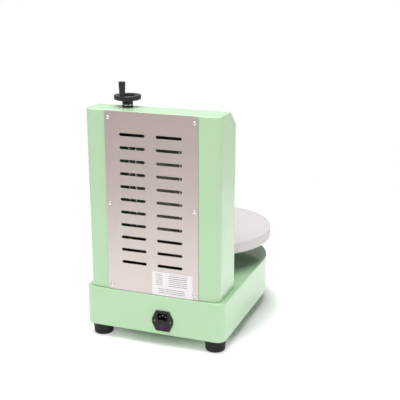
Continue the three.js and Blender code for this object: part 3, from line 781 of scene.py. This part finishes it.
# %% Two screws in the inlet's ears
for side, name in ((-1, "inlet_fixing_left"), (1, "inlet_fixing_right")):
    pan_screw(name, (inlet_middle.x + side * 20 * mm, inlet_high.y, inlet_middle.z), 2.2 * mm, 1.2 * mm, 2 * mm,
              "housing", "bright_steel", material=dull_pin)

# %% [markdown]
# ## Rubber feet
# Four moulded feet, a little wider at the top, with a softly rounded lower rim and a hollow for the fixing
# screw.

# %% The four feet
foot_names = ["foot_rear_left", "foot_rear_right", "foot_front_left", "foot_front_right"]
for name in foot_names:
    low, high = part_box(name)
    middle = (low + high) / 2
    wide, tall = (high.x - low.x) / 2 / mm, high.z / mm
    profile = [
        (0, 5, 0), (4.5, 5, 0.4), (4.5, 0, 0.8), (0.88 * wide, 0, 3.5), (0.97 * wide, tall - 7, 1.5),
        (wide, tall - 5, 0.6), (wide, tall, 0.8), (0, tall, 0),
    ]
    bm = turned([(r * mm, h * mm, c * mm) for r, h, c in profile], (middle.x, middle.y, 0), steps=64)
    keep(bm, f"{name}_moulding", "housing", "black_rubber", black_rubber, name)

# %% [markdown]
# ## The turntable disc
# One casting turned true: a flat top with a very small central dimple and one shallow groove near the edge, a
# rounded rim and a skirt below. It is a turned piece, so its half section is drawn once and spun.

# %% The disc
def disc():
    top, bottom, r = disc_high.z / mm, disc_low.z / mm, disc_radius / mm
    profile = [
        (0, top - 8.2, 0), (r - 8, top - 8.2, 2), (r - 8, bottom, 0.8), (r, bottom, 1.2), (r, top, 2.2),
        (r - 7, top, 0.2), (r - 7.5, top - 0.35, 0), (r - 8, top, 0.2), (1.2, top, 0.1), (0, top - 0.8, 0),
    ]
    bm = turned([(a * mm, h * mm, c * mm) for a, h, c in profile], (0, disc_centre.y, 0), steps=192)
    return keep(bm, "disc_casting", "turntable", "disc_grey", disc_grey, "turntable_disc", sharp=25)


disc()

# %% [markdown]
# ## The hand wheel
# A small moulded wheel: a hub, a conical web below, a broad glossy rim and a round recess in the middle. A
# tapered grip turns on a bolt in the rim. All of it is turned, each piece about its own axis.

# %% Wheel, washer, collar
wheel_low, wheel_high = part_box("handwheel")
screw_low, screw_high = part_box("lead_screw")
screw_axis = ((screw_low + screw_high) / 2).xy


def scaled(profile):
    return [(r * mm, h * mm, c * mm) for r, h, c in profile]


def wheel_pieces():
    r, top, hub = (wheel_high.x - wheel_low.x) / 2 / mm, wheel_high.z / mm, wheel_low.z / mm
    rim = top - 11.2
    wheel = [
        (6.3, hub, 0.3), (12.4, hub, 0.6), (12.4, rim - 1.2, 1.5), (r - 5, rim + 0.2, 2), (r - 0.4, rim + 1.8, 1),
        (r, top - 1.2, 0), (r - 1.2, top, 0.8), (18, top - 0.3, 0.8), (16.5, rim + 4, 1.8), (6.3, rim + 4, 0.3),
    ]
    at = (screw_axis.x, screw_axis.y, 0)
    keep(turned(scaled(wheel), at, steps=96), "wheel_moulding", "screw",
         "black_plastic", black_plastic, "handwheel")
    collar_low, collar_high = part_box("screw_collar")
    c0, c1 = collar_low.z / mm, collar_high.z / mm
    collar = [(6.3, c0, 0.2), (12.5, c0, 0.2), (12.5, c1, 0.5), (6.3, c1, 0.2)]
    keep(turned(scaled(collar), at, steps=64), "collar_ring", "housing",
         "black_steel", black_steel, "screw_collar")
    washer_low, washer_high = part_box("wheel_washer")
    w0, w1 = washer_low.z / mm, washer_high.z / mm
    washer = [(6.3, w0, 0.1), (12.6, w0, 0.4), (12.6, w1, 0.4), (6.3, w1, 0.1)]
    keep(turned(scaled(washer), at, steps=64), "washer_ring", "screw",
         "bright_steel", bright_steel, "wheel_washer")


wheel_pieces()

# %% The grip
grip_low, grip_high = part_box("handle_grip")
grip_axis = ((grip_low + grip_high) / 2).xy


def grip():
    bottom, top = grip_low.z / mm, grip_high.z / mm
    profile = [
        (0, top - 5.6, 0), (3.3, top - 5.6, 0), (3.3, bottom, 0.3), (6.4, bottom, 0.8), (6.6, bottom + 5, 2),
        (7.8, top - 3, 3), (7.6, top, 1.4), (0, top, 0),
    ]
    bm = turned(scaled(profile), (grip_axis.x, grip_axis.y, 0), steps=64)
    return keep(bm, "grip_moulding", "grip", "black_plastic", black_plastic, "handle_grip")


grip()

# %% [markdown]
# ## The lead screw
# A trapezoidal screw with four starts: one turn carries the nut 8 mm, and the ridges stand 2 mm apart. Four
# ridges are drawn side by side as one strip and spun while they climb, so each turn ends where the next
# begins. Both ends are then cut flat and closed, and a plain journal carries the hand wheel.

# %% The threaded screw
def threaded_screw():
    lead, starts, crest, root, steps = 8 * mm, 4, 6 * mm, 4.9 * mm, 16
    low, top, journal = screw_low.z, screw_high.z, 545 * mm
    pitch = lead / starts
    bm = bmesh.new()
    strip = []
    for start in range(starts):
        for radius, share in ((root, 0.0), (root, 0.35), (crest, 0.5), (crest, 0.85)):
            strip.append(bm.verts.new((radius, 0, low - lead + (start + share) * pitch)))
    strip.append(bm.verts.new((root, 0, low)))
    for pair in zip(strip, strip[1:]):
        bm.edges.new(pair)
    turns = math.ceil((journal - low) / lead) + 2
    bmesh.ops.spin(
        bm, geom=bm.verts[:] + bm.edges[:], cent=(0, 0, 0), axis=(0, 0, 1), dvec=(0, 0, lead / steps),
        angle=math.tau * turns, steps=steps * turns, use_merge=False, use_duplicate=False,
    )
    bmesh.ops.remove_doubles(bm, verts=bm.verts, dist=1e-5)
    for height, way in ((low, -1), (journal, 1)):
        cut = bmesh.ops.bisect_plane(
            bm, geom=bm.verts[:] + bm.edges[:] + bm.faces[:], plane_co=(0, 0, height), plane_no=(0, 0, way),
            clear_outer=True,
        )
        bmesh.ops.contextual_create(bm, geom=[g for g in cut["geom_cut"] if isinstance(g, bmesh.types.BMEdge)])
    bmesh.ops.translate(bm, vec=(screw_axis.x, screw_axis.y, 0), verts=bm.verts)
    keep(bm, "screw_thread", "screw", "bright_steel", bright_steel, "lead_screw", sharp=25)
    shaft = [(0, journal / mm - 1, 0), (6, journal / mm - 1, 0.3), (6, top / mm, 0.6), (0, top / mm, 0)]
    keep(turned(scaled(shaft), (screw_axis.x, screw_axis.y, 0), steps=48), "screw_journal", "screw",
         "bright_steel", bright_steel, "lead_screw")


threaded_screw()

# %% The two guide rods
for name in ("guide_rod_left", "guide_rod_right"):
    low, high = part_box(name)
    middle = (low + high) / 2
    rod = [(0, low.z / mm, 0), (4, low.z / mm, 0.5), (4, high.z / mm, 0.5), (0, high.z / mm, 0)]
    keep(turned(scaled(rod), (middle.x, middle.y, 0), steps=48), f"{name}_bar", "housing", "bright_steel",
         bright_steel, name)

# %% [markdown]
# ## Knobs and buttons
# The clamp knobs are moulded with six scallops for the fingers. Each starts as a plain turned knob, and its
# side is drawn inwards a little at six places. The speed knob sits on the sloping panel, so it is turned
# about the panel's own direction and carries one white pointer.


# %% Six scallops round a knob
def scallop(bm, centre, axis, from_radius, depth, count=6):
    axis = Vector(axis).normalized()
    across = axis.orthogonal().normalized()
    along = axis.cross(across)
    for vert in bm.verts:
        out = (vert.co - centre) - axis * (vert.co - centre).dot(axis)
        if out.length > from_radius:
            angle = math.atan2(out.dot(along), out.dot(across))
            vert.co -= out.normalized() * depth * max(0.0, math.cos(count * angle)) ** 2


# %% The two clamp knobs
knob_tall = 12


def clamp_knob(name, node, body, centre, axis, stud):
    top, dimple = knob_tall, knob_tall - 0.7
    knob = [(0, -stud, 0), (3, -stud, 0.3), (3, 0.3, 0), (9, 0.3, 1), (11, 2.2, 1.2), (11, top - 2.2, 1.2),
            (9.2, top, 1.2), (4, top, 0.5), (3.4, dimple, 0.3), (0, dimple, 0)]
    bm = turned(scaled(knob), centre, steps=96, axis=axis)
    scallop(bm, Vector(centre), axis, 8.5 * mm, 1.6 * mm)
    return keep(bm, name, body, "black_plastic", black_plastic, node)


rail_low, rail_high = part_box("rail_knob")
rail_middle = (rail_low + rail_high) / 2
clamp_knob("rail_clamp_knob", "rail_knob", "rail_clamp",
           (rail_middle.x, rail_middle.y, rail_high.z - knob_tall * mm), (0, 0, 1),
           (rail_high.z - rail_low.z) / mm - knob_tall)
blade_low, blade_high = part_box("blade_knob")
blade_middle = (blade_low + blade_high) / 2
clamp_knob("blade_clamp_knob", "blade_knob", "blade_clamp",
           (blade_middle.x, blade_low.y + knob_tall * mm, blade_middle.z), (0, -1, 0),
           (blade_high.y - blade_low.y) / mm - knob_tall)

# %% The panel's own directions
panel_out = Vector((0, -slant.z, slant.y)).normalized()
panel_up = slant.normalized()
panel_middle = Vector((0, tower_low.y, tower_high.z - slant.z)) + slant / 2


def on_panel(x, up, out=0.0):
    return panel_middle + Vector((x, 0, 0)) + panel_up * up + panel_out * out


# %% Speed knob with its pointer
def speed_knob():
    at, base = on_panel(78 * mm, -6 * mm), 2.2
    knob = [(0, -6, 0), (3, -6, 0.3), (3, base, 0), (9, base, 0.4), (8.4, base + 7, 0.6), (7.8, base + 8, 0.5),
            (0, base + 8, 0)]
    bm = turned(scaled(knob), at, steps=72, axis=panel_out)
    keep(bm, "speed_dial", "speed_control", "black_plastic", black_plastic, "speed_knob")
    bm = bmesh.new()
    bmesh.ops.create_cube(bm, size=1.0)
    bmesh.ops.scale(bm, vec=(1 * mm, 4.2 * mm, 0.3 * mm), verts=bm.verts)
    basis = Matrix((Vector((1, 0, 0)), panel_up, panel_out)).transposed().to_4x4()
    bmesh.ops.transform(
        bm, matrix=Matrix.Translation(on_panel(78 * mm, -1.8 * mm, (base + 8) * mm)) @ basis, verts=bm.verts)
    keep(bm, "speed_pointer", "speed_control", "label_white", label_white)


speed_knob()

# %% Start and stop buttons
def push_button(name, node, body, x, slot_name, material):
    cap = [(0, -5, 0), (7, -5, 0.3), (7, 3.9, 0.8), (5.2, 4.5, 1.2), (0, 4.3, 0)]
    bm = turned(scaled(cap), on_panel(x * mm, 0), steps=64, axis=panel_out)
    return keep(bm, name, body, slot_name, material, node)


push_button("start_cap", "start_button", "start_key", -68, "button_green", button_green)
push_button("stop_cap", "stop_button", "stop_key", -92, "button_red", button_red)

# %% [markdown]
# ## Stage, light and camera
# The machine stands on a white table under a broad soft light. The table is round and ends a little over a
# metre out, while its paper is still brightly lit. The paper carries painted light: it glows beyond a ring
# round the machine but not under it, so the rendered shadow there stays deep and takes up the green of the
# base. Beyond the table a warm room begins, which the satin steel picks up. The camera never sees the room:
# its own background is plain white.

# %% The table
def table_top():
    bm = bmesh.new()
    bmesh.ops.create_circle(bm, cap_ends=True, segments=96, radius=1.3)
    mesh = bpy.data.meshes.new("table_top")
    bm.to_mesh(mesh)
    bm.free()
    top = bpy.data.objects.new("table_top", mesh)
    bpy.context.scene.collection.objects.link(top)
    paper = bpy.data.materials.new("white_paper")
    paper.use_nodes = True
    shader = paper.node_tree.nodes["Principled BSDF"]
    shader.inputs["Base Color"].default_value = (0.9, 0.9, 0.895, 1)
    shader.inputs["Roughness"].default_value = 0.9
    shader.inputs["Emission Color"].default_value = (1, 1, 0.98, 1)
    place = paper.node_tree.nodes.new("ShaderNodeTexCoord")
    away = paper.node_tree.nodes.new("ShaderNodeVectorMath")
    away.operation = "LENGTH"
    # painted light: the paper's emission rises from nothing under the machine to a glow beyond a ring round it
    painted_floor_glow = paper.node_tree.nodes.new("ShaderNodeMapRange")
    painted_floor_glow.interpolation_type = "SMOOTHSTEP"
    for title, number in (("From Min", 0.195), ("From Max", 0.275), ("To Min", 0.0), ("To Max", 0.33)):
        painted_floor_glow.inputs[title].default_value = number
    link = paper.node_tree.links.new
    link(place.outputs["Object"], away.inputs[0])
    link(away.outputs["Value"], painted_floor_glow.inputs["Value"])
    link(painted_floor_glow.outputs["Result"], shader.inputs["Emission Strength"])
    mesh.materials.append(paper)


table_top()


# %% The room's light
backdrop_way = Vector((0.336, -0.9, 0.28)).normalized()


def room():
    world = bpy.data.worlds.new("studio")
    bpy.context.scene.world = world
    world.use_nodes = True
    tree = world.node_tree
    link = tree.links.new
    place = tree.nodes.new("ShaderNodeTexCoord")
    axes = tree.nodes.new("ShaderNodeSeparateXYZ")
    link(place.outputs["Generated"], axes.inputs["Vector"])

    def ramp(value, low, high, start, end):
        node = tree.nodes.new("ShaderNodeMapRange")
        node.interpolation_type = "SMOOTHSTEP"
        for socket, number in zip(node.inputs[1:5], (low, high, start, end)):
            node.inputs[socket.name].default_value = number
        link(value, node.inputs["Value"])
        return node.outputs["Result"]

    def mixed(share, first, second):
        node = tree.nodes.new("ShaderNodeMix")
        node.data_type = "RGBA"
        link(share, node.inputs[0])
        for socket, colour in ((node.inputs[6], first), (node.inputs[7], second)):
            if isinstance(colour, tuple):
                socket.default_value = (*colour, 1)
            else:
                link(colour, socket)
        return node.outputs[2]

    toward = tree.nodes.new("ShaderNodeVectorMath")
    toward.operation = "DOT_PRODUCT"
    toward.inputs[1].default_value = backdrop_way
    link(place.outputs["Generated"], toward.inputs[0])
    low_room = mixed(ramp(axes.outputs["Z"], -0.3, 0.1, 0, 1), (0.97, 0.89, 0.86), (0.16, 0.16, 0.16))
    with_backdrop = mixed(ramp(toward.outputs["Value"], 0.75, 0.95, 0, 1), low_room, (0.56, 0.56, 0.56))
    seen = tree.nodes.new("ShaderNodeLightPath")
    backdrop = tree.nodes["Background"]
    link(mixed(seen.outputs["Is Camera Ray"], with_backdrop, (1.0, 1.0, 1.0)), backdrop.inputs["Color"])
    backdrop.inputs["Strength"].default_value = 1.0


room()


# %% Soft boxes
def soft_light(name, place, target, size, power, tint=(1, 1, 1)):
    lamp = bpy.data.lights.new(name, "AREA")
    lamp.shape, lamp.size, lamp.size_y = "RECTANGLE", *size
    lamp.energy, lamp.color = power, tint
    light = bpy.data.objects.new(name, lamp)
    bpy.context.scene.collection.objects.link(light)
    light.location = place
    light.rotation_euler = (Vector(target) - Vector(place)).to_track_quat("-Z", "Y").to_euler()
    return light


soft_light("overhead", (0.1, 0.3, 2.4), (0, 0, 0.2), (2.4, 2.4), 84)
soft_light("camera_side", (0.6, 3.2, 1.5), (0, 0, 0.3), (2.4, 1.8), 18)
soft_light("side", (-2.6, 0.6, 0.9), (0, 0, 0.25), (1.2, 1.2), 13)
print("three soft boxes")

# %% The camera
camera_data = bpy.data.cameras.new("camera")
camera_data.lens, camera_data.sensor_width = 77.92, 36
camera = bpy.data.objects.new("camera", camera_data)
bpy.context.scene.collection.objects.link(camera)
camera.location = (-0.7589, 1.9657, 0.9028)
camera.rotation_euler = (math.radians(90 - 16.24), 0, math.radians(200.48))
bpy.context.scene.camera = camera
bpy.context.scene.view_settings.view_transform = "Standard"
print("lens:", camera_data.lens, "mm")
